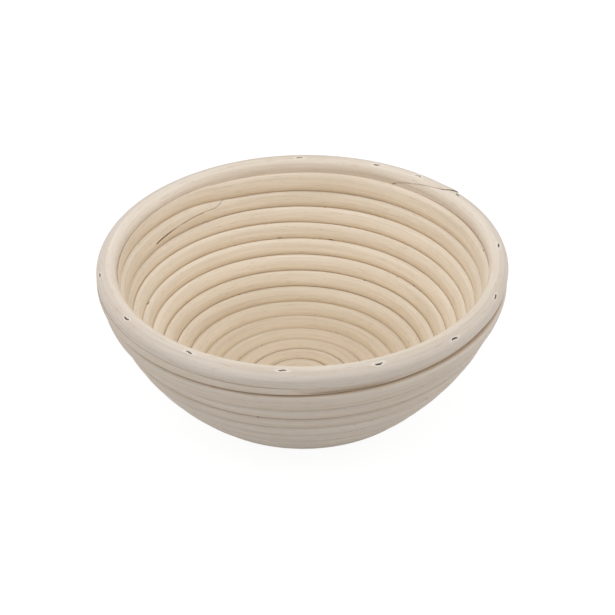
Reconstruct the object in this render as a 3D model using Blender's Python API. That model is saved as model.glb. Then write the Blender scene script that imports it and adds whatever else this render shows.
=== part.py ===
"""Round rattan proofing basket: a spiral of round cane closed by a thicker rim cane, and stapled turn to turn.

Metres, +Z up. The origin is on the surface that the basket stands on, under the middle of the bowl.
The front is at -Y. Turns are counted outwards from the middle of the base, and each turn starts at the front
and runs anticlockwise seen from above, so turn 2.25 is on the right and turn 2.5 at the back.
"""

import math

import bmesh
import bpy
from mathutils import Vector

# The bowl as a whole
outer_diameter = 0.2186
basket_height = 0.0888
foot_arc_radius = 0.0454
foot_arc_degrees = 42.0
wall_arc_radius = 0.128
# How far the rim cane stands inside the line of the wall
rim_inset = 0.0006
# How much higher the top of the wall and the rim stand at the right than at the left
rim_rise = 0.0026

# The canes
cane_diameter = 0.0090
last_turn_diameter = 0.0112
rim_cane_diameter = 0.0104
turn_gap = 0.0005
inner_end_diameter = 0.0082
ground_flat_share = 0.1
# The rim cane's taper, and where it is thickest, counted round the rim from the winding's end
rim_taper_share = 0.05
rim_thickest_degrees = -112.0

# Where the first cane starts, in turns from the middle of the base, and how far along the bowl's profile it reaches
inner_end_turn = 0.625
base_cane_reach = 0.0475

# How many turns before the room under the rim is used up the wall cane is spliced, the winding thickens,
# the outside of its end is shaved away, and it ends
splice_turns_left = 1.687
thickening_turns_left = 1.75
shave_turns_left = 0.322
end_turns_left = 0.109
thickening_turns = 0.06
leaning_turns = 1.5

# The end of the winding: its top is hollowed to a seat for the rim, and its outside is shaved back quickly at
# first, then slowly. The shares are of the cane's radius, outwards from its middle. Where there is little room
# under the rim, the cane's radius is the end's, and this share of the room more.
rim_seat_gap = 0.0003
end_radius = 0.0029
room_radius_share = 0.7
quick_shave_turns = 0.035
quick_shave_share = 0.35
end_shave_share = -0.3

# The scarf joints, where two shaved ends lie on each other
scarf_gap = 0.00045
wall_scarf_length = 0.057
base_scarf_length = 0.030
rim_scarf_length = 0.040
# The line of each joint: how far along it, from -1 to 1, and how high across the cane. Two of them have blunt tips.
base_scarf_shares = ((-1.0, 1.0), (1.0, -1.0))
wall_scarf_shares = ((-1.0, 1.0), (-0.75, 0.22), (1.0, -0.42), (1.12, -1.0))
rim_scarf_shares = ((-1.0, 1.0), (-0.73, 0.36), (1.0, -1.0))
# Counted round the rim from the end of the winding
rim_scarf_degrees = 66.0
rim_scarf_section_degrees = 45.0
scarf_reach = 0.005
cut_overrun = 0.004
end_overrun_share = 0.1

# The staples
staple_wire = 0.0009
staple_crown = 0.0050
staple_bend = 0.0006
wall_staple_leg = 0.0125
rim_staple_leg = 0.0165
staple_clearance = 0.0003
wall_crown_sink = 0.00045
rim_crown_sink = 0.0006
wall_staple_count = 33
# How many turns from its inner end, and from where it thickens, the winding has its first and last staple
first_staple_turns = 1.25
last_staple_turns = 0.2
# Each turn has its wall staples on every fourth chord, and the next turn has them midway between those
staple_stagger = 4
# Where the hollowed last turn is lower than this share of a cane, the rim's staples are aimed at the turn below it
thin_seat_share = 0.75
# Each rim staple's place: the share of the way round from the winding's end, and from the rim's outside to its top
rim_staple_shares = (
    (0.061, 0.92),
    (0.147, 0.92),
    (0.192, 1.06),
    (0.233, 1.16),
    (0.303, 1.16),
    (0.368, 0.40),
    (0.436, 0.30),
    (0.506, 0.36),
    (0.575, 0.52),
    (0.642, 0.69),
    (0.711, 0.86),
    (0.786, 0.82),
    (0.858, 0.69),
    (0.925, 0.42),
    (0.989, 0.56),
)

# How finely the canes are divided
points_per_turn = 24
rim_points = 48
scarf_rows = 10
weld_distance = 0.000001
sharp_edge_degrees = 65.0

pitch = cane_diameter + turn_gap
front_angle = -math.pi / 2
rim_radius = (outer_diameter - rim_cane_diameter) / 2
base_centre_height = (0.5 - ground_flat_share) * cane_diameter
rim_centre_height = basket_height - rim_cane_diameter / 2

# The profile ends where the rim cane sits, and its flat base takes what the two arcs leave
foot_arc_angle = math.radians(foot_arc_degrees)
foot_arc_width = foot_arc_radius * math.sin(foot_arc_angle)
foot_arc_height = foot_arc_radius * (1 - math.cos(foot_arc_angle))
wall_height = rim_centre_height - base_centre_height - foot_arc_height
rim_slope = math.acos(math.cos(foot_arc_angle) - wall_height / wall_arc_radius)
wall_width = wall_arc_radius * (math.sin(rim_slope) - math.sin(foot_arc_angle))
base_flat_radius = rim_radius + rim_inset - foot_arc_width - wall_width
foot_arc_end = base_flat_radius + foot_arc_radius * foot_arc_angle
rim_profile_length = foot_arc_end + wall_arc_radius * (rim_slope - foot_arc_angle)
rim_seat_length = rim_profile_length - rim_cane_diameter / 2 - turn_gap / 2

# The turn at which no room is left under the rim, and the turns counted back from it
full_turn = (rim_seat_length - last_turn_diameter + cane_diameter) / pitch + 0.5
base_splice_turn = base_cane_reach / pitch
wall_splice_turn = full_turn - splice_turns_left
last_plain_turn = full_turn - thickening_turns_left
shave_start_turn = full_turn - shave_turns_left
end_turn = full_turn - end_turns_left

cane_colour = (0.72, 0.56, 0.38, 1.0)
rim_colour = (0.74, 0.62, 0.48, 1.0)
steel_colour = (0.30, 0.28, 0.26, 1.0)


def clear_scene():
    """Removes whatever the scene holds."""
    for old in list(bpy.data.objects):
        bpy.data.objects.remove(old, do_unlink=True)


def new_collection(name):
    """A collection linked to the scene."""
    made = bpy.data.collections.new(name)
    bpy.context.scene.collection.children.link(made)
    return made


def finish_material(name, colour, roughness, metallic):
    """A plain Principled material."""
    made = bpy.data.materials.new(name)
    made.use_nodes = True
    shader = made.node_tree.nodes["Principled BSDF"]
    shader.inputs["Base Color"].default_value = colour
    shader.inputs["Roughness"].default_value = roughness
    shader.inputs["Metallic"].default_value = metallic
    return made


def turn_angle(turn):
    """The angle round the bowl at this turn: whole turns are at the front."""
    return front_angle + 2 * math.pi * turn


def profile(length):
    """Radius, height above the base turns and slope of the bowl's middle surface, this far along its profile.

    The profile is a flat base, then a foot arc, then a wall arc of larger radius.
    """
    if length <= base_flat_radius:
        return length, 0.0, 0.0
    if length <= foot_arc_end:
        slope = (length - base_flat_radius) / foot_arc_radius
        radius = base_flat_radius + foot_arc_radius * math.sin(slope)
        return radius, foot_arc_radius * (1 - math.cos(slope)), slope
    slope = foot_arc_angle + (length - foot_arc_end) / wall_arc_radius
    radius = base_flat_radius + foot_arc_width + wall_arc_radius * (math.sin(slope) - math.sin(foot_arc_angle))
    height = foot_arc_height + wall_arc_radius * (math.cos(foot_arc_angle) - math.cos(slope))
    return radius, height, slope


def smooth_step(share):
    """Rises from 0 to 1 as the share does, level at both ends."""
    share = min(max(share, 0.0), 1.0)
    return share * share * (3 - 2 * share)


def lean(turn, angle):
    """How far the upper turns are lifted on the right and lowered on the left."""
    grown = smooth_step((turn - last_plain_turn) / leaning_turns + 1)
    return grown * rim_rise / 2 * math.cos(angle)


def contact(turn, angle):
    """How far along the profile one turn meets the next."""
    return pitch * turn + lean(turn, angle)


def rim_seat(angle):
    """How far along the profile the rim cane rests on the wall."""
    return rim_seat_length + rim_rise / 2 * math.cos(angle)


def lower_contact(turn):
    """How far along the profile this turn meets the one below it."""
    angle = turn_angle(turn)
    if turn <= last_plain_turn + 1:
        return contact(turn - 0.5, angle)
    return contact(turn - 1.5, angle) + turn_gap + 2 * cane_radius(turn - 1)


def room_under_rim(turn):
    """What is free along the profile for this turn between the one below it and the rim cane."""
    return rim_seat(turn_angle(turn)) - lower_contact(turn) - turn_gap


def round_rim(share):
    """The angle this share of the way round the rim, counted from the winding's end."""
    return turn_angle(end_turn + share)


def cane_radius(turn):
    """The winding's radius: thinner at its inner end, thicker from its last cane on, and tapered under the rim."""
    if turn <= last_plain_turn:
        angle = turn_angle(turn)
        radius = (contact(turn + 0.5, angle) - contact(turn - 0.5, angle) - turn_gap) / 2
    else:
        grown = smooth_step((turn - last_plain_turn) / thickening_turns)
        widest = (cane_diameter + grown * (last_turn_diameter - cane_diameter)) / 2
        radius = min(widest, end_radius + room_radius_share * room_under_rim(turn))
    if turn < inner_end_turn + 1:
        thinned = 1 - smooth_step(turn - inner_end_turn)
        radius -= thinned * (cane_diameter - inner_end_diameter) / 2
    return radius


def winding_length(turn):
    """How far along the profile the middle of the winding is at this turn."""
    return lower_contact(turn) + turn_gap / 2 + cane_radius(turn)


def on_profile(length, angle):
    """The point of the bowl's middle surface this far along its profile, at this angle."""
    radius, height, slope = profile(length)
    return Vector((radius * math.cos(angle), radius * math.sin(angle), base_centre_height + height))


def winding_place(turn):
    """The centre of the winding at this turn, and the profile's slope there."""
    length = winding_length(turn)
    return on_profile(length, turn_angle(turn)), profile(length)[2]


def chord_point(turn, length_at):
    """The same as on_profile, but on the straight chord between two of the winding's points."""
    step = math.floor(turn * points_per_turn)
    before, after = (here / points_per_turn for here in (step, step + 1))
    start = on_profile(length_at(before), turn_angle(before))
    end = on_profile(length_at(after), turn_angle(after))
    return start.lerp(end, turn * points_per_turn - step)


def chord_place(turn):
    """The centre of the winding's tube at this turn, where it runs straight from point to point."""
    return chord_point(turn, winding_length)


def bowl_directions(turn):
    """Up along the profile and out through the wall, at this turn."""
    angle = turn_angle(turn)
    slope = winding_place(turn)[1]
    outward = Vector((math.cos(angle), math.sin(angle), 0.0))
    along_profile = outward * math.cos(slope) + Vector((0.0, 0.0, math.sin(slope)))
    out_of_wall = outward * math.sin(slope) - Vector((0.0, 0.0, math.cos(slope)))
    return along_profile, out_of_wall


def rim_thickness(angle):
    """The rim cane's radius at this angle: it tapers evenly both ways from where it is thickest."""
    away = angle - round_rim(rim_thickest_degrees / 360)
    return rim_cane_diameter / 2 * (1 + rim_taper_share * math.cos(away))


def rim_place(angle):
    """The centre of the rim cane at this angle: its outer edge is round, whatever its thickness."""
    reach = outer_diameter / 2 - rim_thickness(angle)
    height = rim_centre_height + rim_rise / 2 * math.cos(angle)
    return Vector((reach * math.cos(angle), reach * math.sin(angle), height))


def mesh_of_curve(curve_object, collection):
    """Replaces a curve object by a mesh object of the same name, with its caps welded on."""
    bpy.context.view_layer.update()
    evaluated = curve_object.evaluated_get(bpy.context.evaluated_depsgraph_get())
    mesh = bpy.data.meshes.new_from_object(evaluated)
    name = curve_object.name
    placed = curve_object.matrix_world.copy()
    bpy.data.objects.remove(curve_object, do_unlink=True)
    tidy = bmesh.new()
    tidy.from_mesh(mesh)
    bmesh.ops.remove_doubles(tidy, verts=tidy.verts, dist=weld_distance)
    bmesh.ops.recalc_face_normals(tidy, faces=tidy.faces)
    tidy.to_mesh(mesh)
    tidy.free()
    made = bpy.data.objects.new(name, mesh)
    made.matrix_world = placed
    collection.objects.link(made)
    return made


def tube(name, points, radii, tilts, sides_resolution, twist, closed, collection):
    """A tube through these points, as a mesh object."""
    widest = max(radii)
    curve = bpy.data.curves.new(name, "CURVE")
    curve.dimensions = "3D"
    curve.twist_mode = twist
    curve.bevel_depth = widest
    curve.bevel_resolution = sides_resolution
    curve.use_fill_caps = not closed
    spline = curve.splines.new("POLY")
    spline.points.add(len(points) - 1)
    for point, place, radius, tilt in zip(spline.points, points, radii, tilts):
        point.co = (*place, 1.0)
        point.radius = radius / widest
        point.tilt = tilt
    spline.use_cyclic_u = closed
    made = bpy.data.objects.new(name, curve)
    collection.objects.link(made)
    return mesh_of_curve(made, collection)


def winding(name, start, end, collection):
    """One length of the winding, from one turn to another, its points at the same angles as its neighbours'."""
    first = math.floor(start * points_per_turn)
    last = math.ceil(end * points_per_turn)
    turns = [step / points_per_turn for step in range(first, last + 1)]
    places = [winding_place(turn) for turn in turns]
    points = [place for place, slope in places]
    tilts = [slope for place, slope in places]
    radii = [cane_radius(turn) for turn in turns]
    return tube(name, points, radii, tilts, 1, "Z_UP", False, collection)


def cutter_look(made):
    """Marks a helper that is left out of the model."""
    made.hide_render = True
    made.display_type = "WIRE"


def lofted_cutter(name, sections, collection):
    """A closed cutter lofted through four-cornered sections, with both ends capped.

    Its sides are split along the same diagonals each time, so that cutters on both sides of a joint match.
    """
    loft = bmesh.new()
    rings = [[loft.verts.new(corner) for corner in section] for section in sections]
    for ring, following in zip(rings, rings[1:]):
        for corner in range(4):
            beside = (corner + 1) % 4
            loft.faces.new((ring[corner], ring[beside], following[beside]))
            loft.faces.new((ring[corner], following[beside], following[corner]))
    loft.faces.new(rings[0])
    loft.faces.new(rings[-1])
    bmesh.ops.recalc_face_normals(loft, faces=loft.faces)
    mesh = bpy.data.meshes.new(name)
    loft.to_mesh(mesh)
    loft.free()
    made = bpy.data.objects.new(name, mesh)
    collection.objects.link(made)
    cutter_look(made)
    return made


def cut(target, cutter):
    """Takes the cutter's shape out of the target."""
    boolean = target.modifiers.new(cutter.name, "BOOLEAN")
    boolean.operation = "DIFFERENCE"
    boolean.solver = "EXACT"
    boolean.object = cutter


def splice_span(turn, length):
    """How many turns a scarf of this length covers."""
    return length / (2 * math.pi * winding_place(turn)[0].xy.length)


def on_line(shares, place):
    """The height across the cane of a joint's line at this place along it. Its end stretches run on straight."""
    for (start, start_height), (end, end_height) in zip(shares, shares[1:]):
        if place <= end:
            break
    return start_height + (place - start) / (end - start) * (end_height - start_height)


def line_corners(shares, high, low):
    """The places along a joint's line where its end stretches reach these heights."""
    corners = []
    for (start, start_height), (end, end_height), height in ((*shares[:2], high), (*shares[-2:], low)):
        corners.append(start + (height - start_height) / (end_height - start_height) * (end - start))
    return corners


def splice_rows(turn, length, shares, shift):
    """Middle, half width and profile direction of the sheet that shaves one end of the winding.

    The sheet falls across the cane, from its upper side to its lower, as the cane runs on. Before and after
    the scarf it lies in the gap between the turns. The shift moves it down to leave the gap in the joint.
    """
    half_span = splice_span(turn, length) / 2
    places = [place for place, height in shares[1:-1]]
    first_radius, last_radius = (cane_radius(turn + half_span * shares[end][0]) for end in (0, -1))
    high = (first_radius + turn_gap / 2 + shift) / first_radius
    low = (shift - last_radius - turn_gap / 2) / last_radius
    corners = [turn + half_span * place for place in places + line_corners(shares, high, low)]
    overlap = splice_overlap(turn, length)
    first = math.floor((turn - overlap) * points_per_turn) - 1
    last = math.ceil((turn + overlap) * points_per_turn) + 1
    turns = [step / points_per_turn for step in range(first, last + 1)]
    rows = []
    for here in sorted(turns + corners):
        radius = cane_radius(here)
        edge = radius + turn_gap / 2
        height = min(max(on_line(shares, (here - turn) / half_span) * radius - shift, -edge), edge)
        along_profile, out_of_wall = bowl_directions(here)
        middle = chord_place(here) + along_profile * height
        rows.append((middle, out_of_wall * (radius + scarf_reach), along_profile))
    return rows


def splice_overlap(turn, length):
    """How far, in turns, each cane runs past the middle of their scarf before it is shaved."""
    return splice_span(turn, length) * (0.5 + end_overrun_share)


def splice(lower_cane, upper_cane, turn, length, shares, cutters):
    """Shaves the end of one cane and the start of the next to one sheet, with a gap between them."""
    depth = cane_diameter + cut_overrun
    for cane, side in ((lower_cane, 1.0), (upper_cane, -1.0)):
        sections = []
        for near, reach, along_profile in splice_rows(turn, length, shares, side * scarf_gap / 2):
            far = near + along_profile * (side * depth)
            sections.append((near - reach, near + reach, far + reach, far - reach))
        cut(cane, lofted_cutter(cane.name + "_scarf_cutter", sections, cutters))


def seat_middle(turn):
    """How far along the profile the middle of the wood between the turn below and the rim is."""
    return lower_contact(turn) + turn_gap / 2 + min(room_under_rim(turn) / 2, cane_radius(turn))


def rim_ring(name, grown, collection):
    """The rim cane as a closed ring, or the cutter of its seat where it is grown by the gap."""
    angles = [round_rim(step / rim_points) for step in range(rim_points)]
    places = [rim_place(angle) for angle in angles]
    radii = [rim_thickness(angle) + grown for angle in angles]
    return tube(name, places, radii, [0.0] * rim_points, 2, "Z_UP", True, collection)


def shave_sections():
    """The wood that is shaved off the outside of the winding's end."""
    quick_end_turn = shave_start_turn + quick_shave_turns
    last = math.ceil(end_turn * points_per_turn) + 1
    steps = range(math.ceil(quick_end_turn * points_per_turn), last + 1)
    turns = [shave_start_turn - quick_shave_turns, shave_start_turn, quick_end_turn]
    sections = []
    for here in turns + [step / points_per_turn for step in steps]:
        radius = cane_radius(here)
        if here <= quick_end_turn:
            share = 1 + (shave_start_turn - here) / quick_shave_turns * (1 - quick_shave_share)
        else:
            slow = (here - quick_end_turn) / (end_turn - quick_end_turn)
            share = quick_shave_share + slow * (end_shave_share - quick_shave_share)
        along_profile, out_of_wall = bowl_directions(here)
        low = chord_point(here, lower_contact) + out_of_wall * (share * radius)
        high = low + along_profile * (cane_diameter + cut_overrun)
        depth = out_of_wall * (cane_diameter + cut_overrun)
        sections.append((low, low + depth, high + depth, high))
    return sections


def rim_scarf_sections():
    """The slit between the rim cane's two ends: from low inside, over the top, to the outer edge."""
    section = math.radians(rim_scarf_section_degrees)
    middle_angle = round_rim(rim_scarf_degrees / 360)
    half_span = rim_scarf_length / rim_radius / 2
    reach_share = 1 + 2 * cut_overrun / rim_cane_diameter
    start, end = line_corners(rim_scarf_shares, reach_share, -reach_share)
    evenly = [start + (end - start) * step / scarf_rows for step in range(scarf_rows + 1)]
    sections = []
    for place in sorted(evenly + [corner for corner, height in rim_scarf_shares[1:-1]]):
        angle = middle_angle + place * half_span
        radius = rim_thickness(angle)
        outward = Vector((math.cos(angle), math.sin(angle), 0.0))
        across = outward * math.cos(section) + Vector((0.0, 0.0, math.sin(section)))
        along_sheet = Vector((0.0, 0.0, math.cos(section))) - outward * math.sin(section)
        middle = rim_place(angle) + across * (on_line(rim_scarf_shares, place) * radius)
        reach = along_sheet * (radius + scarf_reach)
        half = across * (scarf_gap / 2)
        sections.append((middle - half - reach, middle - half + reach, middle + half + reach, middle + half - reach))
    return sections


def staple_points(place, along, down, leg, grown):
    """The bent wire's middle line: two legs and a crown, with its corners cut."""
    half = along * (staple_crown / 2)
    corner = along * (staple_crown / 2 - staple_bend)
    tip = down * (leg + grown)
    bend = down * staple_bend
    return [
        place - half + tip,
        place - half + bend,
        place - corner,
        place + corner,
        place + half + bend,
        place + half + tip,
    ]


def staple(name, place, along, down, leg, grown, collection):
    """A U of square wire, or its cutter where it is grown by the clearance."""
    points = staple_points(place, along, down, leg, grown)
    radii = [staple_wire / 2 + grown] * len(points)
    tilts = [math.pi / 4] * len(points)
    return tube(name, points, radii, tilts, 0, "MINIMUM", False, collection)


def wall_staple_step(number):
    """The chord that a wall staple sits on, out of line with the staples of the turns above and below it."""
    first = inner_end_turn + first_staple_turns
    last = last_plain_turn - last_staple_turns
    aim = first + (last - first) * number / (wall_staple_count - 1)
    turn = math.floor(aim)
    shift = turn % 2 * staple_stagger // 2
    chord = round(((aim - turn) * points_per_turn - shift) / staple_stagger) * staple_stagger
    return turn * points_per_turn + shift + min(max(chord, 0), points_per_turn - staple_stagger)


def wall_staple_seat(step):
    """Crown place, direction along the cane and driving direction of a staple at the middle of this chord."""
    turn = (step + 0.5) / points_per_turn
    middle = chord_place(turn)
    along = (winding_place((step + 1) / points_per_turn)[0] - winding_place(step / points_per_turn)[0]).normalized()
    down = chord_place(turn - 1) - middle
    down = (down - along * down.dot(along)).normalized()
    return middle - down * (cane_radius(turn) - wall_crown_sink), along, down


def rim_staple_seat(round_share, section_share):
    """Crown place, direction along the rim and driving direction of a rim staple, aimed at the cane below."""
    angle = round_rim(round_share)
    chord = math.floor(round_share * rim_points)
    start = rim_place(round_rim(chord / rim_points))
    end = rim_place(round_rim((chord + 1) / rim_points))
    middle = start.lerp(end, round_share * rim_points - chord)
    along = (end - start).normalized()
    section = section_share * math.pi / 2
    outward = Vector((math.cos(angle), math.sin(angle), 0.0))
    facing = outward * math.cos(section) + Vector((0.0, 0.0, math.sin(section)))
    place = middle + facing * (rim_thickness(angle) - rim_crown_sink)
    turn = end_turn - 1 + round_share % 1.0
    if room_under_rim(turn) < thin_seat_share * cane_diameter:
        turn -= 1
    down = chord_point(turn, seat_middle) - place
    down = (down - along * down.dot(along)).normalized()
    return place, along, down


def joined_cutter(name, pieces, cutters):
    """One cutter made of several separate closed pieces."""
    merged = bmesh.new()
    for piece in pieces:
        piece.data.transform(piece.matrix_world)
        merged.from_mesh(piece.data)
        bpy.data.objects.remove(piece, do_unlink=True)
    mesh = bpy.data.meshes.new(name)
    merged.to_mesh(mesh)
    merged.free()
    made = bpy.data.objects.new(name, mesh)
    cutters.objects.link(made)
    cutter_look(made)
    return made


def ground_cutter(cutters):
    """A block below the ground plane, which leaves the base turns flat underneath."""
    reach = outer_diameter
    bpy.ops.mesh.primitive_cube_add(size=1.0, location=(0.0, 0.0, -reach / 2))
    made = bpy.context.object
    made.name = "ground_cutter"
    made.scale = (reach, reach, reach)
    for old in list(made.users_collection):
        old.objects.unlink(made)
    cutters.objects.link(made)
    cutter_look(made)
    return made


def least_gap():
    """The winding's least distance to itself, surface to surface, over points at least half a turn apart."""
    per_turn = 4 * points_per_turn
    first = math.ceil(inner_end_turn * per_turn)
    last = math.floor(end_turn * per_turn)
    turns = [step / per_turn for step in range(first, last + 1)]
    places = [winding_place(turn)[0] for turn in turns]
    radii = [cane_radius(turn) for turn in turns]
    least = pitch
    for i in range(len(turns)):
        for j in range(i + per_turn // 2, min(len(turns), i + per_turn * 3 // 2)):
            gap = (places[i] - places[j]).length - radii[i] - radii[j]
            least = min(least, gap)
    return least


def build():
    clear_scene()
    basket = new_collection("rattan_proofing_basket")
    cutters = new_collection("cutters")
    cane_finish = finish_material("wall_cane", cane_colour, 0.62, 0.0)
    rim_finish = finish_material("rim_cane", rim_colour, 0.6, 0.0)
    steel_finish = finish_material("staple_wire", steel_colour, 0.38, 1.0)

    base_overlap = splice_overlap(base_splice_turn, base_scarf_length)
    wall_overlap = splice_overlap(wall_splice_turn, wall_scarf_length)
    base_cane = winding("base_cane", inner_end_turn, base_splice_turn + base_overlap, basket)
    wall_cane = winding("wall_cane", base_splice_turn - base_overlap, wall_splice_turn + wall_overlap, basket)
    top_cane = winding("last_turn_cane", wall_splice_turn - wall_overlap, end_turn, basket)
    rim_cane = rim_ring("rim_cane", 0.0, basket)

    splice(base_cane, wall_cane, base_splice_turn, base_scarf_length, base_scarf_shares, cutters)
    splice(wall_cane, top_cane, wall_splice_turn, wall_scarf_length, wall_scarf_shares, cutters)
    seat_cutter = rim_ring("rim_seat_cutter", rim_seat_gap, cutters)
    cutter_look(seat_cutter)
    cut(top_cane, seat_cutter)
    cut(top_cane, lofted_cutter("end_shave_cutter", shave_sections(), cutters))
    cut(rim_cane, lofted_cutter("rim_scarf_cutter", rim_scarf_sections(), cutters))

    seats = []
    for number in range(wall_staple_count):
        seat = wall_staple_seat(wall_staple_step(number))
        seats.append((f"wall_staple_{number + 1:02d}", wall_staple_leg, *seat))
    for number, shares in enumerate(rim_staple_shares, 1):
        seats.append((f"rim_staple_{number:02d}", rim_staple_leg, *rim_staple_seat(*shares)))

    slots = []
    for name, leg, place, along, down in seats:
        made = staple(name, place, along, down, leg, 0.0, basket)
        made.data.materials.append(steel_finish)
        slots.append(staple(name + "_slot", place, along, down, leg, staple_clearance, cutters))
    slot_cutter = joined_cutter("staple_slots", slots, cutters)
    ground = ground_cutter(cutters)
    for cane in (base_cane, wall_cane, top_cane, rim_cane):
        cut(cane, slot_cutter)
        cane.data.materials.append(rim_finish if cane is rim_cane else cane_finish)
        cane.data.shade_smooth()
        cane.data.set_sharp_from_angle(angle=math.radians(sharp_edge_degrees))
    cut(base_cane, ground)
    cut(wall_cane, ground)
    print(f"least gap of the winding to itself: {least_gap() * 1000:.2f} mm")


build()
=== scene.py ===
import math

import bpy
import numpy as np
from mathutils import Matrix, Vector


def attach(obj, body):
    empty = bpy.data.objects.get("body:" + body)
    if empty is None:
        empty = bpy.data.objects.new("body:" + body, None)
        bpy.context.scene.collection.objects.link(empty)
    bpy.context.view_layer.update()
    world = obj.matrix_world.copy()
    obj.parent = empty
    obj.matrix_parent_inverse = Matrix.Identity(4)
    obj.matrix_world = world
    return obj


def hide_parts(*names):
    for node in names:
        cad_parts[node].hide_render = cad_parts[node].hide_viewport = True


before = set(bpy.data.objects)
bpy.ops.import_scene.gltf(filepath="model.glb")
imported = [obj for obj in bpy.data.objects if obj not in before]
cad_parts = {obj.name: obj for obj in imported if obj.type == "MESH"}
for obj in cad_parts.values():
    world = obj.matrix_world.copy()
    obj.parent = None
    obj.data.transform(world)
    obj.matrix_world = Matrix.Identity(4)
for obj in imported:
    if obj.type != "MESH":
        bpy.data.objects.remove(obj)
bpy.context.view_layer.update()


# The camera: the photograph's view, from the front and 34 degrees above the table, through a long lens.
view_elevation = math.radians(34.16)
view_distance = 1.1
view_target = Vector((0.0028, 0.0, 0.0546))
lens_mm = 119.43
sensor_mm = 36.0

camera_data = bpy.data.cameras.new("camera")
camera_data.lens = lens_mm
camera_data.sensor_width = sensor_mm
camera = bpy.data.objects.new("camera", camera_data)
bpy.context.scene.collection.objects.link(camera)
toward_camera = Vector((0.0, -math.cos(view_elevation), math.sin(view_elevation)))
camera.location = view_target + view_distance * toward_camera
camera.rotation_euler = (math.pi / 2 - view_elevation, 0.0, 0.0)
bpy.context.scene.camera = camera


# The winding: peeled rattan core, 9 mm round, coiled from the base up to the rim. It is three canes, the last
# one thicker, joined by long laps shaved across the cane. Each turn is pressed on the one below and stapled
# to it. Turns are counted from the middle, and whole turns are at the front (-Y).
cane_diameter = 0.0090
last_diameter = 0.0112
inner_end_diameter = 0.0082
rim_diameter = 0.0104
turn_gap = 0.0005

# The bowl's middle surface, from the centre lines of the base turns to that of the rim cane
outer_radius = 0.1093
bowl_height = 0.0888
foot_arc = 0.0454
foot_angle = math.radians(42.0)
wall_arc = 0.128
rim_inset = 0.0006
base_height_share = 0.4

# The rim stands higher at the right than at the left by this much, and its cane tapers by this share
rim_rise = 0.0026
rim_taper = 0.05

rim_radius = outer_radius - rim_diameter / 2
rim_height = bowl_height - rim_diameter / 2
base_height = base_height_share * cane_diameter
pitch = cane_diameter + turn_gap
wall_height = rim_height - base_height - foot_arc * (1 - math.cos(foot_angle))
rim_slope = math.acos(math.cos(foot_angle) - wall_height / wall_arc)
wall_width = wall_arc * (math.sin(rim_slope) - math.sin(foot_angle))
flat_radius = rim_radius + rim_inset - foot_arc * math.sin(foot_angle) - wall_width
foot_end = flat_radius + foot_arc * foot_angle
rim_length = foot_end + wall_arc * (rim_slope - foot_angle)
seat_length = rim_length - rim_diameter / 2 - turn_gap / 2
full_turn = (seat_length - last_diameter + cane_diameter) / pitch + 0.5

# Where the winding starts, is spliced, thickens, is shaved and ends, and over how many turns it leans and
# thickens
inner_turn = 0.625
base_splice = 5.0
wall_splice = full_turn - 1.687
thick_turn = full_turn - 1.75
shave_turn = full_turn - 0.322
end_turn = full_turn - 0.109
leaning_turns = 1.5
thickening_turns = 0.06
end_radius = 0.0029
room_share = 0.7
thickest_angle = 2 * math.pi * end_turn - math.pi / 2 - math.radians(112.0)

# The canes are drawn fuller than the solids, and squarer than round, where they press together. Nothing is
# drawn further out than drawn_radius.
drawn_radius = 0.1091
drawn_gap = 0.00006
fullness = 0.00115
drawn_depth = 0.0004
squareness = 0.46
full_radius = 0.0044
full_from = 0.3
cane_sharp_degrees = 38.0
rim_sharp_degrees = 50.0

# The last cane's top is hollowed for the rim, over the last turns. Its outside is shaved back, and then is
# full again.
seated_turns = 1.2
seat_gap = 0.00002
shave_in_turns = 0.035
shave_out_after = 0.05
shave_out_turns = 0.05
unshaved_share = 1.02
shaved_share = 0.33
shaved_wear = 0.15
shaved_wear_before = 0.01

# The laps: their lengths, the line of each along and across the cane, and where the upper end has sprung open
base_lap = 0.030
wall_lap = 0.057
base_line_places, base_line_heights = (-1.05, 1.05), (1.05, -1.05)
wall_line_places, wall_line_heights = (-1.016, -0.75, 1.0, 1.13), (1.05, 0.22, -0.42, -1.05)
sprung_gap = 0.0006
sprung_from, sprung_over = 0.15, 0.5
shut_from, shut_over = 0.95, 0.12

# The canes are a little uneven: how far they sway in and out, and how many radians of that go in a turn
slow_sway, slow_sway_rate = 0.00014, 5.1
quick_sway, quick_sway_rate = 0.00008, 17.3
base_seed, wall_seed, last_seed = 0.31, 1.93, 3.57

# In a section's cuts: further than any cane reaches, a hollow too small to matter, and lengths that count
# as none
far = 1.0
least_hollow = 0.001
least_sheet = 2e-6
least_reach = 1e-6
nearly_zero = 1e-9
highest_low_share = 0.98


def smooth(share):
    """3x^2 - 2x^3 between 0 and 1: rises smoothly, level at both ends."""
    share = np.clip(share, 0.0, 1.0)
    return share * share * (3 - 2 * share)


def turn_angle(turn):
    """The angle round the bowl of a place on the winding: 2 pi turn - pi / 2."""
    return 2 * np.pi * turn - np.pi / 2


def bowl_line(length):
    """Radius, height and slope of the bowl's middle surface: a flat, a foot arc and a wider wall arc.

    radius = flat length + foot_arc sin(foot) + wall_arc (sin(foot_angle + wall) - sin(foot_angle)). The height
    is base_height and the two arcs' terms, with 1 - cos for sin. Foot and wall are the angles covered.
    """
    foot = np.clip((length - flat_radius) / foot_arc, 0.0, foot_angle)
    wall = np.maximum((length - foot_end) / wall_arc, 0.0)
    radius = (np.minimum(length, flat_radius) + foot_arc * np.sin(foot)
              + wall_arc * (np.sin(foot_angle + wall) - np.sin(foot_angle)))
    height = (base_height + foot_arc * (1 - np.cos(foot))
              + wall_arc * (np.cos(foot_angle) - np.cos(foot_angle + wall)))
    return radius, height, foot + wall


def contact(turn, angle):
    """How far along the bowl's line one turn meets the next: evenly spaced, and higher on the right."""
    lean = smooth((turn - thick_turn) / leaning_turns + 1) * rim_rise / 2 * np.cos(angle)
    return pitch * turn + lean


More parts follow.
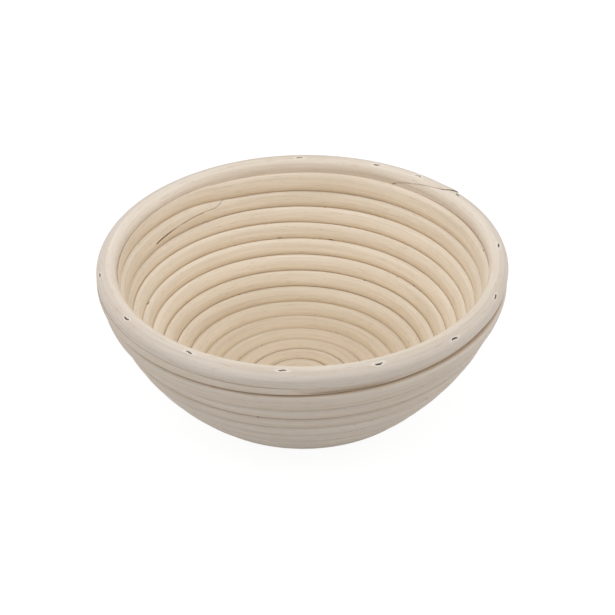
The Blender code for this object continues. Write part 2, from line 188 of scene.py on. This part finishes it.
def thick_radius(turn):
    """Half the last cane's thickness before it is cut: it starts 9 mm thick and soon reaches 11.2 mm."""
    grown = smooth((turn - thick_turn) / thickening_turns)
    return (cane_diameter + grown * (last_diameter - cane_diameter)) / 2


def low_contact(turn):
    """Where a turn meets the one below it: half a turn back, or on top of the thick last turn."""
    angle = turn_angle(turn)
    on_last = contact(turn - 1.5, angle) + turn_gap + 2 * thick_radius(turn - 1)
    return np.where(turn <= thick_turn + 1, contact(turn - 0.5, angle), on_last)


def room_under_rim(turn):
    """What is free for a turn between the one below it and the rim."""
    return seat_length + rim_rise / 2 * np.cos(turn_angle(turn)) - low_contact(turn) - turn_gap


def cane_radius(turn):
    """Half the cane's thickness: 4.5 mm, less at its inner end, 5.6 mm in the last cane, tapered at the end."""
    angle = turn_angle(turn)
    plain = (contact(turn + 0.5, angle) - contact(turn - 0.5, angle) - turn_gap) / 2
    last = np.minimum(thick_radius(turn), end_radius + room_share * room_under_rim(turn))
    thinned = (1 - smooth(turn - inner_turn)) * (cane_diameter - inner_end_diameter) / 2
    return np.where(turn <= thick_turn, plain, last) - thinned


def rim_section(angle):
    """Radius of the rim cane, which tapers evenly round the rim, and the radius and height of its centre."""
    radius = rim_diameter / 2 * (1 + rim_taper * np.cos(angle - thickest_angle))
    return radius, drawn_radius - radius, rim_height + rim_rise / 2 * np.cos(angle)


def no_hollow(like):
    """A hollow far above the section, for places where nothing is hollowed."""
    return np.zeros_like(like), np.full_like(like, far), np.full_like(like, least_hollow)


def cut_section(radius, low, high, outer, hollow, around):
    """Out and up of points round a cane's section, and 1 where they lie on a cut.

    The section is a circle, cut to low <= up <= high and out <= outer, and hollowed by another circle, given
    by its place and radius. Each point is where a ray from the middle of what is left first meets one of
    these. The rays are stretched to the shape's width and height.
    """
    low = np.clip(low, -radius, highest_low_share * radius)
    high = np.clip(high, low + least_sheet, radius)
    half_width = np.sqrt(np.maximum(radius ** 2 - ((low + high) / 2) ** 2, 0.0))
    right = np.clip(outer, -half_width, half_width)
    middle_out = (right - half_width) / 2
    hollow_out, hollow_up, hollow_radius = hollow
    underside = hollow_up - np.sqrt(np.maximum(hollow_radius ** 2 - (middle_out - hollow_out) ** 2, 0.0))
    bottom = np.maximum(low, -np.sqrt(np.maximum(radius ** 2 - middle_out ** 2, 0.0)))
    top = np.maximum(np.minimum(high, underside), bottom + least_sheet)
    middle_up = (bottom + top) / 2
    ray_out = np.cos(around) * np.maximum((right + half_width) / 2, least_reach)
    ray_up = np.sin(around) * np.maximum((top - bottom) / 2, least_reach)
    size = np.hypot(ray_out, ray_up)
    ray_out, ray_up = ray_out / size, ray_up / size
    toward = middle_out * ray_out + middle_up * ray_up
    inside = np.maximum(radius ** 2 - middle_out ** 2 - middle_up ** 2, 0.0)
    round_reach = np.sqrt(toward ** 2 + inside) - toward
    up_room = np.where(ray_up > 0, high - middle_up, middle_up - low)
    up_reach = up_room / np.maximum(np.abs(ray_up), nearly_zero)
    out_reach = np.where(ray_out > 0, (right - middle_out) / np.maximum(ray_out, nearly_zero), far)
    nearing = ray_out * (hollow_out - middle_out) + ray_up * (hollow_up - middle_up)
    apart = (hollow_out - middle_out) ** 2 + (hollow_up - middle_up) ** 2 - hollow_radius ** 2
    meets = (nearing > 0) & (nearing ** 2 > apart)
    hollow_reach = np.where(meets, nearing - np.sqrt(np.maximum(nearing ** 2 - apart, 0.0)), far)
    reach = np.minimum(np.minimum(round_reach, up_reach), np.minimum(out_reach, hollow_reach))
    reach = np.maximum(reach, 0.0)
    on_cut = ((reach < round_reach - least_reach) & (reach < hollow_reach - least_reach)).astype(float)
    return middle_out + reach * ray_out, middle_up + reach * ray_up, on_cut


def skin(name, points, sharp_degrees, **attributes):
    """A mesh over a grid of points (along, around, 3): quads between neighbours, and a fan over each end."""
    rows, columns = points.shape[:2]
    spots = np.arange(rows * columns).reshape(rows, columns)
    rings, following = spots[:-1], spots[1:]
    corners = [rings, following, np.roll(following, -1, axis=1), np.roll(rings, -1, axis=1)]
    faces = np.stack(corners, axis=-1).reshape(-1, 4).tolist()
    flat = np.vstack([points.reshape(-1, 3), points[0].mean(axis=0), points[-1].mean(axis=0)])
    first, last = spots[0], spots[-1]
    start = np.full(columns, rows * columns)
    faces += np.stack([start, first, np.roll(first, -1)], axis=-1).tolist()
    faces += np.stack([start + 1, np.roll(last, -1), last], axis=-1).tolist()
    mesh = bpy.data.meshes.new(name)
    mesh.from_pydata(flat.tolist(), [], faces)
    for label, values in attributes.items():
        values = values.reshape(-1, 3)
        ends = [values[:columns].mean(axis=0), values[-columns:].mean(axis=0)]
        values = np.vstack([values, ends])
        kept = mesh.attributes.new(label, "FLOAT_VECTOR", "POINT")
        kept.data.foreach_set("vector", values.astype(np.float32).ravel())
    mesh.shade_smooth()
    mesh.set_sharp_from_angle(angle=math.radians(sharp_degrees))
    piece = bpy.data.objects.new(name, mesh)
    bpy.context.scene.collection.objects.link(piece)
    return piece


def splice_reach(turn, length):
    """Half of a lap, in turns."""
    middle = low_contact(np.array(turn)) + turn_gap / 2 + cane_radius(np.array(turn))
    return length / (2 * np.pi * float(bowl_line(middle)[0])) / 2


def joint_line(turns, joint):
    """The height of a lap's line across the cane, as a share of its half: straight between set points."""
    middle, reach, places, heights = joint
    return np.interp((turns - middle) / reach, places, heights)


def joint_gap(turns, joint):
    """How far a lap's two faces stand apart: tight, but open where the upper end has sprung up a little."""
    place = (turns - joint[0]) / joint[1]
    opened = smooth((place - sprung_from) / sprung_over) * (1 - smooth((place - shut_from) / shut_over))
    return drawn_gap + sprung_gap * opened


def winding_cane(name, turns, around, start_joint, end_joint, seated, seed):
    """One cane of the winding, as a grid: the turns along it, and angles round its section.

    A point that lies out and up in the section is at radius + out sin(slope) + up cos(slope) from the axis,
    and height - out cos(slope) + up sin(slope) above the floor. The section is flat where it presses on its
    neighbours. A lap is a sheet that falls from the upper edge to the lower across the cane. Where the cane
    is seated, the rim hollows its top, and its end is shaved on the outside for a short way.
    """
    turns, around = turns[:, None], around[None, :]
    angle = turn_angle(turns)
    radius = cane_radius(turns)
    middle = low_contact(turns) + turn_gap / 2 + radius
    base_radius, height, slope = bowl_line(middle)
    grown = smooth(radius / full_radius - full_from)
    drawn = radius + fullness * grown
    press = radius + (turn_gap - drawn_gap) / 2
    low, high, outer = -press, press, np.full_like(turns, far)
    if start_joint:
        low = np.maximum(low, press * joint_line(turns, start_joint) + joint_gap(turns, start_joint) / 2)
    if end_joint:
        high = np.minimum(high, press * joint_line(turns, end_joint) - joint_gap(turns, end_joint) / 2)
    hollow = no_hollow(turns)
    if seated:
        rim, rim_across, rim_up = rim_section(angle)
        across, above = rim_across - base_radius, rim_up - height
        near = turns > full_turn - seated_turns
        hollow = (across * np.sin(slope) - above * np.cos(slope),
                  np.where(near, across * np.cos(slope) + above * np.sin(slope), far), rim + seat_gap)
        past = turns - shave_turn
        shaved = smooth(past / shave_in_turns) * (1 - smooth((past - shave_out_after) / shave_out_turns))
        outer = np.where(turns > shave_turn, (unshaved_share - shaved_share * shaved) * drawn, far)
    out, up, on_cut = cut_section(drawn, low, high, outer, hollow, around)
    pressed = (np.abs(up) > press - least_sheet) & (np.abs(up) < press + least_sheet)
    on_cut = np.where(pressed, 0.0, on_cut)
    depth = (radius + drawn_depth * grown) / drawn
    out = out * depth * (1 + squareness * (1 - on_cut) * (up / drawn) ** 2)
    sway = (slow_sway * np.sin(slow_sway_rate * turns + seed)
            + quick_sway * np.sin(quick_sway_rate * turns + 2 * seed))
    out = out + sway
    across = np.minimum(base_radius + out * np.sin(slope) + up * np.cos(slope), drawn_radius)
    above = np.maximum(height - out * np.cos(slope) + up * np.sin(slope), 0.0)
    points = np.stack([across * np.cos(angle), across * np.sin(angle), above], axis=-1)
    steps = np.linalg.norm(np.diff(points.mean(axis=1), axis=0), axis=1)
    along = np.concatenate([[0.0], np.cumsum(steps)])[:, None] + seed
    grain = np.stack([along + 0 * out, out, up], axis=-1)
    worn = np.where(turns > shave_turn - shaved_wear_before, shaved_wear, 1.0) * on_cut
    face = np.stack([out / drawn, up / press, worn], axis=-1)
    piece = skin(name, points, cane_sharp_degrees, grain=grain, face=face)
    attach(piece, "root")
    return piece


base_joint = (base_splice, splice_reach(base_splice, base_lap), base_line_places, base_line_heights)
wall_joint = (wall_splice, splice_reach(wall_splice, wall_lap), wall_line_places, wall_line_heights)
wall_start, base_end = (base_splice + place * base_joint[1] for place in base_line_places)
last_start = wall_splice + wall_line_places[0] * wall_joint[1]
wall_end = wall_splice + wall_line_places[-1] * wall_joint[1]

# Sections along each cane, closer in the laps and where the end is shaved, and points round a section
lap_turns = np.linspace(last_start, wall_end, 160)
base_turns = np.linspace(inner_turn, base_end, 900)
wall_turns = np.unique(np.concatenate([np.linspace(wall_start, wall_end, 1800), lap_turns]))
shaved_turns = np.linspace(shave_turn - 0.05, end_turn, 120)
last_turns = np.unique(np.concatenate([lap_turns, np.linspace(last_start, end_turn, 560), shaved_turns]))
round_cane = np.radians(np.concatenate([np.linspace(-74, 74, 20), [82, 98],
                                        np.linspace(106, 254, 20), [262, 278]]))
round_last = np.linspace(0.0, 2 * np.pi, 84, endpoint=False)

base_piece = winding_cane("base_winding", base_turns, round_cane, None, base_joint, False, base_seed)
wall_piece = winding_cane("wall_winding", wall_turns, round_cane, base_joint, wall_joint, False, wall_seed)
last_piece = winding_cane("last_turn", last_turns, round_last, wall_joint, None, True, last_seed)
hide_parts("base_cane")
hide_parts("wall_cane")
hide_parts("last_turn_cane")


# The wood: pale peeled rattan core. The patterns' scales run along the cane and across it, per metre. The
# tones and shades multiply the wood's colour, and the named colours are what it is blended towards.
fibre_scale = (34.0, 2600.0, 2600.0)
strand_scale = (14.0, 560.0, 560.0)
patch_scale = (8.0, 70.0, 70.0)
vessel_scale = (130.0, 3200.0, 3200.0)
fleck_scale = (170.0, 420.0, 420.0)
patch_tones = ((0.30, (0.94, 0.925, 0.90)), (0.70, (1.04, 1.04, 1.05)))
# Painted light and shade across each cane: darker and warmer towards its bottom, lighter and cooler towards its
# top
painted_shading_tones = ((0.0, (0.97, 0.94, 0.89)), (1.0, (1.01, 1.015, 1.035)))
strand_tones = ((0.30, (0.93, 0.905, 0.87)), (0.58, (1.02, 1.02, 1.02)))
fibre_tones = ((0.32, (0.90, 0.87, 0.83)), (0.58, (1.03, 1.03, 1.03)))
# Painted shade low on the outer faces of the canes
painted_underside_shade = (0.84, 0.80, 0.76)
vessel_shade = (0.80, 0.71, 0.60)
low_inside_tint = (0.83, 0.81, 0.78)
nick_brown = (0.20, 0.11, 0.05)
cut_shade = (0.58, 0.44, 0.31)
frayed_wood = (0.86, 0.80, 0.70)
# Painted shade inside the staple slits
slit_painted_shade = (0.035, 0.022, 0.014)


def link(tree, source, target):
    """Joins an output socket to an input socket."""
    tree.links.new(source, target)


def node(tree, kind, **values):
    """A shader node with some of its properties and inputs set."""
    made = tree.nodes.new(kind)
    for label, value in values.items():
        if label in made.inputs:
            made.inputs[label].default_value = value
        else:
            setattr(made, label, value)
    return made


def scaled_noise(tree, vector, scale, detail, roughness):
    """Noise over the grain coordinates, each stretched by its own scale."""
    mapping = node(tree, "ShaderNodeMapping")
    mapping.inputs["Scale"].default_value = scale
    link(tree, vector, mapping.inputs["Vector"])
    noise = node(tree, "ShaderNodeTexNoise", Scale=1.0, Detail=detail, Roughness=roughness)
    link(tree, mapping.outputs["Vector"], noise.inputs["Vector"])
    return noise.outputs["Fac"]


def ramp(tree, factor, stops):
    """A colour ramp through two stops, each a place and a colour."""
    made = node(tree, "ShaderNodeValToRGB")
    for element, (place, colour) in zip(made.color_ramp.elements, stops):
        element.position = place
        element.color = (*colour, 1.0)
    link(tree, factor, made.inputs["Fac"])
    return made.outputs["Color"]


def mixed(tree, kind, factor, first, second):
    """Two colours blended, each a socket or a plain colour, by a factor that is a socket or a number."""
    made = node(tree, "ShaderNodeMix", data_type="RGBA", blend_type=kind)
    for place, value in ((0, factor), (6, first), (7, second)):
        if hasattr(value, "links"):
            link(tree, value, made.inputs[place])
        elif place:
            made.inputs[place].default_value = (*value, 1.0)
        else:
            made.inputs[place].default_value = value
    return made.outputs[2]


def fitted(tree, value, low, high, to_low, to_high):
    """A value mapped smoothly from one range to another."""
    made = node(tree, "ShaderNodeMapRange", interpolation_type="SMOOTHSTEP")
    for place, amount in zip(("From Min", "From Max", "To Min", "To Max"), (low, high, to_low, to_high)):
        made.inputs[place].default_value = amount
    link(tree, value, made.inputs["Value"])
    return made.outputs["Result"]


def product(tree, first, second):
    """Two values multiplied."""
    made = node(tree, "ShaderNodeMath", operation="MULTIPLY")
    link(tree, first, made.inputs[0])
    link(tree, second, made.inputs[1])
    return made.outputs[0]


def scaled_sum(tree, value, factor, added):
    """value * factor + added."""
    made = node(tree, "ShaderNodeMath", operation="MULTIPLY_ADD")
    link(tree, value, made.inputs[0])
    made.inputs[1].default_value = factor
    link(tree, added, made.inputs[2])
    return made.outputs[0]


def split(tree, vector):
    """The three parts of a vector."""
    made = node(tree, "ShaderNodeSeparateXYZ")
    link(tree, vector, made.inputs["Vector"])
    return made.outputs["X"], made.outputs["Y"], made.outputs["Z"]


def cane_material(name, outside, inside, groove_dirt_and_shade, groove_dirt_and_shade_strength, marked):
    """Peeled rattan core: pale wood with fine lengthwise fibres, darker vessels, and tan in the grooves.

    The tan in the grooves is partly dirt and partly painted shade of the creases. The inner faces are painted
    lighter and warmer than the outer faces, as light and shade on one wood, and each cane is painted lighter
    towards its top and darker towards its bottom, with more painted shade low on its outer face. It is darker
    low on the base, brown in small nicks beside the grooves, and tan on a shaved face. Where it is marked,
    wood fibres broken by a staple show paler, and the slit between them is painted dark as the shade inside it.
    """
    material = bpy.data.materials.new(name)
    material.use_nodes = True
    tree = material.node_tree
    shader = tree.nodes["Principled BSDF"]
    grain = node(tree, "ShaderNodeAttribute", attribute_name="grain").outputs["Vector"]
    out, up, cut = split(tree, node(tree, "ShaderNodeAttribute", attribute_name="face").outputs["Vector"])

    fibres = scaled_noise(tree, grain, fibre_scale, 3.0, 0.6)
    strands = scaled_noise(tree, grain, strand_scale, 2.0, 0.5)
    patches = scaled_noise(tree, grain, patch_scale, 3.0, 0.55)
    vessels = scaled_noise(tree, grain, vessel_scale, 1.0, 0.4)
    flecks = scaled_noise(tree, grain, fleck_scale, 2.0, 0.5)

    # Painted light and shade: the inner faces take the lighter, warmer inside colour, and the outer faces the
    # darker, greyer outside colour
    side = fitted(tree, out, -0.5, 0.5, 0.0, 1.0)
    base = mixed(tree, "MIX", side, inside, outside)
    base = mixed(tree, "MULTIPLY", 1.0, base, ramp(tree, patches, patch_tones))
    # Painted light and shade: each cane lighter towards its top and darker towards its bottom
    painted_shading_place = fitted(tree, up, -0.9, 0.8, 0.0, 1.0)
    base = mixed(tree, "MULTIPLY", 1.0, base, ramp(tree, painted_shading_place, painted_shading_tones))
    # Painted shade: darker low on each cane's outer face
    under = product(tree, fitted(tree, up, -1.0, -0.35, 1.0, 0.0), side)
    base = mixed(tree, "MULTIPLY", under, base, painted_underside_shade)
    base = mixed(tree, "MULTIPLY", 0.8, base, ramp(tree, strands, strand_tones))
    base = mixed(tree, "MULTIPLY", 0.7, base, ramp(tree, fibres, fibre_tones))
    base = mixed(tree, "MULTIPLY", fitted(tree, vessels, 0.27, 0.33, 0.8, 0.0), base, vessel_shade)

    # Tan in the grooves between turns, partly dirt and partly painted shade of the creases
    height = node(tree, "ShaderNodeMath", operation="ABSOLUTE")
    link(tree, up, height.inputs[0])
    ragged = scaled_sum(tree, strands, 0.08, height.outputs[0])
    base = mixed(tree, "MIX", fitted(tree, ragged, 0.94, 1.05, 0.0, groove_dirt_and_shade_strength), base, groove_dirt_and_shade)
    above_floor = split(tree, node(tree, "ShaderNodeTexCoord").outputs["Object"])[2]
    # Darker low on the inside of the base
    darker_low_inside = mixed(tree, "MULTIPLY", fitted(tree, side, 0.0, 1.0, 1.0, 0.0), base, low_inside_tint)
    base = mixed(tree, "MIX", fitted(tree, above_floor, 0.004, 0.045, 0.0, 1.0), darker_low_inside, base)
    nick = product(tree, fitted(tree, flecks, 0.25, 0.29, 0.9, 0.0),
                   fitted(tree, height.outputs[0], 0.72, 0.9, 0.0, 1.0))
    base = mixed(tree, "MIX", nick, base, nick_brown)
    base = mixed(tree, "MULTIPLY", cut, base, cut_shade)

    if marked:
        mark = node(tree, "ShaderNodeAttribute", attribute_name="mark").outputs["Vector"]
        slit, halo = split(tree, mark)[:2]
        frayed = product(tree, halo, fitted(tree, fibres, 0.36, 0.56, 0.15, 1.0))
        base = mixed(tree, "MIX", frayed, base, frayed_wood)
        # Painted shade: each slit is coloured near black, as the shade inside the split
        base = mixed(tree, "MIX", slit, base, slit_painted_shade)
    link(tree, base, shader.inputs["Base Color"])
    link(tree, fitted(tree, fibres, 0.3, 0.7, 0.52, 0.70), shader.inputs["Roughness"])
    shader.inputs["Specular IOR Level"].default_value = 0.3
    bump = node(tree, "ShaderNodeBump", Strength=0.3, Distance=0.0001)
    link(tree, scaled_sum(tree, strands, 1.6, fibres), bump.inputs["Height"])
    link(tree, bump.outputs["Normal"], shader.inputs["Normal"])
    return material


# The inside colours are painted lighter and warmer than the outside ones, as light and shade on one wood
wall_finish = cane_material("peeled_rattan_wall", outside=(0.65, 0.58, 0.50), inside=(0.80, 0.71, 0.585),
                            groove_dirt_and_shade=(0.46, 0.31, 0.18), groove_dirt_and_shade_strength=0.6, marked=False)
for cane in (base_piece, wall_piece, last_piece):
    cane.data.materials.append(wall_finish)


# The rim: one thicker round of rattan core, bent to a ring on top of the last turn and stapled down to it.
# Its ends are shaved to long slopes and lie on each other at the back right. The joint runs from low on the
# inside, over the top, to a blunt tip on the outside. Each staple has split the wood where it went in.
rim_lap = 0.040
rim_scarf_middle = float(turn_angle(end_turn)) + math.radians(66.0)
rim_scarf_half = rim_lap / rim_radius / 2
sheet_angle = math.radians(45.0)
line_places, line_heights = (-1.021, -0.73, 1.064), (1.05, 0.36, -1.05)
sheet_reach = 1.2
tip_lift = 0.0005
tip_lift_over = 0.7
under_fullness = 0.4
rim_cut_tint = 0.35
grain_start = 7.7

# Each staple's place: the share of the way round from the winding's end, and from the outside to the top
staple_shares = ((0.061, 0.92), (0.147, 0.92), (0.192, 1.06), (0.233, 1.16), (0.303, 1.16), (0.368, 0.40),
                 (0.436, 0.30), (0.506, 0.36), (0.575, 0.52), (0.642, 0.69), (0.711, 0.86), (0.786, 0.82),
                 (0.858, 0.69), (0.925, 0.42), (0.989, 0.56))
slit_half_length = 0.0020
slit_half_width = 0.00045
slit_depth = 0.0011
halo_half_length = 0.0042
halo_half_width = 0.0014
marked_half_length = 0.0032

# The slits are painted dark, as the shade inside each split, but fainter towards the back of the rim
slit_shade_strength = 0.97
back_fading = 0.65
fades_from, fades_over = 0.35, 0.5

rim_start = rim_scarf_middle + line_places[0] * rim_scarf_half
rim_end = rim_scarf_middle + 2 * math.pi + line_places[2] * rim_scarf_half
staple_angles = np.array([float(turn_angle(end_turn + share)) for share, section in staple_shares])
staple_angles = rim_start + np.mod(staple_angles - rim_start, 2 * np.pi)
staple_sections = np.array([section * np.pi / 2 for share, section in staple_shares])
near_staple = np.linspace(-marked_half_length, marked_half_length, 29)[None, :] / rim_radius
rim_angles = np.unique(np.concatenate([np.linspace(rim_start, rim_end, 600),
                                       (staple_angles[:, None] + near_staple).ravel()]))
rim_angles = rim_angles[(rim_angles >= rim_start) & (rim_angles <= rim_end)][:, None]
rim_around = np.radians(np.concatenate([np.linspace(62, 162, 54, endpoint=False),
                                        np.linspace(162, 422, 40, endpoint=False)]))[None, :]

rim_round, rim_reach, rim_up_centre = rim_section(rim_angles)
first_place = (rim_angles - rim_scarf_middle) / rim_scarf_half
last_place = first_place - 2 * math.pi / rim_scarf_half
sheet_low = np.interp(first_place, line_places, line_heights)
sheet_high = np.interp(last_place, line_places, line_heights)
sheet_low = np.where(first_place < sheet_reach, rim_round * sheet_low + drawn_gap, -far)
sheet_high = np.where(last_place > -sheet_reach, rim_round * sheet_high - drawn_gap, far)
along_sheet, through_sheet, rim_cut = cut_section(
    rim_round, sheet_low, sheet_high, np.full_like(rim_angles, far), no_hollow(rim_angles), rim_around)
through_sheet = through_sheet + tip_lift * (1 - smooth((first_place + 1) / tip_lift_over))
rim_out = through_sheet * math.cos(sheet_angle) + along_sheet * math.sin(sheet_angle)
rim_up = through_sheet * math.sin(sheet_angle) - along_sheet * math.cos(sheet_angle)
rim_out = rim_out * (1 + under_fullness * (1 - rim_cut) * smooth(-rim_up / rim_round) ** 2)

slits = np.zeros_like(rim_out)
halos = np.zeros_like(rim_out)
dents = np.zeros_like(rim_out)
place_round = np.arctan2(rim_up, rim_out)
for angle, section in zip(staple_angles, staple_sections):
    darkness = slit_shade_strength - back_fading * float(smooth((math.sin(angle) - fades_from) / fades_over))
    beside = (rim_angles - angle) * rim_radius
    across = np.mod(place_round - section + np.pi, 2 * np.pi) - np.pi
    across = across + 0.05 * np.sin(1100 * beside + 9 * angle) + 0.02 * np.sin(3900 * beside + 5 * angle)
    away = np.hypot(beside / slit_half_length, across * rim_round / slit_half_width)
    dents = np.maximum(dents, 1 - smooth((away - 0.6) / 0.6))
    slits = np.maximum(slits, darkness * (1 - smooth((away - 0.75) / 0.5)))
    halo = np.hypot(beside / halo_half_length, across * rim_round / halo_half_width)
    halos = np.maximum(halos, 1 - smooth((halo - 0.3) / 0.9))
outward = np.hypot(rim_out, rim_up)
kept_share = 1 - slit_depth * dents * (1 - rim_cut) / np.maximum(outward, 0.001)
rim_out, rim_up = rim_out * kept_share, rim_up * kept_share

rim_across = rim_reach + rim_out
rim_points = np.stack([rim_across * np.cos(rim_angles), rim_across * np.sin(rim_angles),
                       rim_up_centre + rim_up], axis=-1)
rim_along = rim_angles * rim_radius + grain_start
rim_piece = skin("rim_ring", rim_points, rim_sharp_degrees,
                 grain=np.stack([rim_along + 0 * rim_out, rim_out, rim_up], axis=-1),
                 face=np.stack([rim_out / rim_round, 0 * rim_up, rim_cut_tint * rim_cut], axis=-1),
                 mark=np.stack([slits, halos, 0 * slits], axis=-1))
# Painted light and shade: the rim's inside colour is lighter and warmer than its outside colour
rim_finish = cane_material("peeled_rattan_rim", outside=(0.65, 0.59, 0.525), inside=(0.77, 0.70, 0.615),
                           groove_dirt_and_shade=(0.36, 0.22, 0.11), groove_dirt_and_shade_strength=0.0, marked=True)
rim_piece.data.materials.append(rim_finish)
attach(rim_piece, "root")
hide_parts("rim_cane")


# The staples: dull steel wire, driven through the rim and the turns until their crowns are just under the
# skin. They are the solids of the frame, in a spotted dark metal.
steel_tones = ((0.35, (0.07, 0.05, 0.04)), (0.65, (0.20, 0.18, 0.165)))
steel_spot_scale = 900.0

staple_finish = bpy.data.materials.new("dull_staple_steel")
staple_finish.use_nodes = True
steel_tree = staple_finish.node_tree
steel = steel_tree.nodes["Principled BSDF"]
steel.inputs["Metallic"].default_value = 1.0
steel_place = node(steel_tree, "ShaderNodeTexCoord")
steel_spots = node(steel_tree, "ShaderNodeTexNoise", Scale=steel_spot_scale, Detail=3.0)
link(steel_tree, steel_place.outputs["Object"], steel_spots.inputs["Vector"])
link(steel_tree, ramp(steel_tree, steel_spots.outputs["Fac"], steel_tones), steel.inputs["Base Color"])
steel_roughness = fitted(steel_tree, steel_spots.outputs["Fac"], 0.3, 0.7, 0.65, 0.4)
link(steel_tree, steel_roughness, steel.inputs["Roughness"])
for label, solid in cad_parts.items():
    if "staple" in label:
        for slot in solid.material_slots:
            slot.material = staple_finish


# The floor: a plain white sweep. The camera sees it white apart from the basket's own soft shadow, and it
# throws back less light than that, so that the basket is not lit too strongly from below.
floor_half = 6
floor_drop = 0.0002
floor_grey = (0.70, 0.70, 0.70, 1.0)
white = (1.0, 1.0, 1.0, 1.0)
floor_glow_strength = 1.08
floor_glow_share = 0.86

floor_mesh = bpy.data.meshes.new("floor")
floor_mesh.from_pydata([(-floor_half, -floor_half, 0), (floor_half, -floor_half, 0),
                        (floor_half, floor_half, 0), (-floor_half, floor_half, 0)], [], [(0, 1, 2, 3)])
floor = bpy.data.objects.new("floor", floor_mesh)
bpy.context.scene.collection.objects.link(floor)
floor.location = (0.0, 0.0, -floor_drop)
floor_finish = bpy.data.materials.new("floor_white")
floor_finish.use_nodes = True
floor_tree = floor_finish.node_tree
floor_tree.nodes.clear()
floor_out = node(floor_tree, "ShaderNodeOutputMaterial")
floor_lit = node(floor_tree, "ShaderNodeBsdfDiffuse", Color=floor_grey)
floor_seen_lit = node(floor_tree, "ShaderNodeBsdfDiffuse", Color=white)
floor_glow = node(floor_tree, "ShaderNodeEmission", Color=white, Strength=floor_glow_strength)
floor_seen = node(floor_tree, "ShaderNodeMixShader", Fac=floor_glow_share)
floor_either = node(floor_tree, "ShaderNodeMixShader")


def background_ray(tree):
    """1 for rays from the camera, or that metal reflects or glass passes on, and 0 for other light."""
    path = node(tree, "ShaderNodeLightPath")
    total = path.outputs["Is Camera Ray"]
    for label in ("Is Glossy Ray", "Is Transmission Ray"):
        either = node(tree, "ShaderNodeMath", operation="MAXIMUM")
        link(tree, total, either.inputs[0])
        link(tree, path.outputs[label], either.inputs[1])
        total = either.outputs[0]
    return total


link(floor_tree, floor_seen_lit.outputs[0], floor_seen.inputs[1])
link(floor_tree, floor_glow.outputs[0], floor_seen.inputs[2])
link(floor_tree, background_ray(floor_tree), floor_either.inputs["Fac"])
link(floor_tree, floor_lit.outputs[0], floor_either.inputs[1])
link(floor_tree, floor_seen.outputs[0], floor_either.inputs[2])
link(floor_tree, floor_either.outputs[0], floor_out.inputs["Surface"])
floor_mesh.materials.append(floor_finish)


# The light: a bright white room, with big soft lamps above, at the left and at the right. Each lamp has a
# place, a size in metres and a power in watts, and is aimed at the middle of the bowl.
room_light = 0.55
room_seen = 1.0
lamps = (("lamp_above", (-0.1, -0.35, 1.6), 1.4, 12.0),
         ("lamp_left", (-1.3, -0.1, 0.6), 1.1, 3.5),
         ("lamp_right", (1.3, -0.1, 0.6), 1.1, 4.0))
lamp_aim = Vector((0, 0, 0.04))

world = bpy.data.worlds.new("room")
bpy.context.scene.world = world
world.use_nodes = True
room_tree = world.node_tree
room = room_tree.nodes["Background"]
room.inputs["Color"].default_value = white
room_strength = node(room_tree, "ShaderNodeMapRange")
room_strength.inputs["To Min"].default_value = room_light
room_strength.inputs["To Max"].default_value = room_seen
link(room_tree, background_ray(room_tree), room_strength.inputs["Value"])
link(room_tree, room_strength.outputs["Result"], room.inputs["Strength"])
for label, place, size, power in lamps:
    lamp_data = bpy.data.lights.new(label, "AREA")
    lamp_data.size = size
    lamp_data.energy = power
    lamp = bpy.data.objects.new(label, lamp_data)
    lamp.location = place
    lamp.rotation_euler = (lamp_aim - Vector(place)).to_track_quat("-Z", "Y").to_euler()
    bpy.context.scene.collection.objects.link(lamp)
bpy.context.scene.view_settings.view_transform = "Standard"
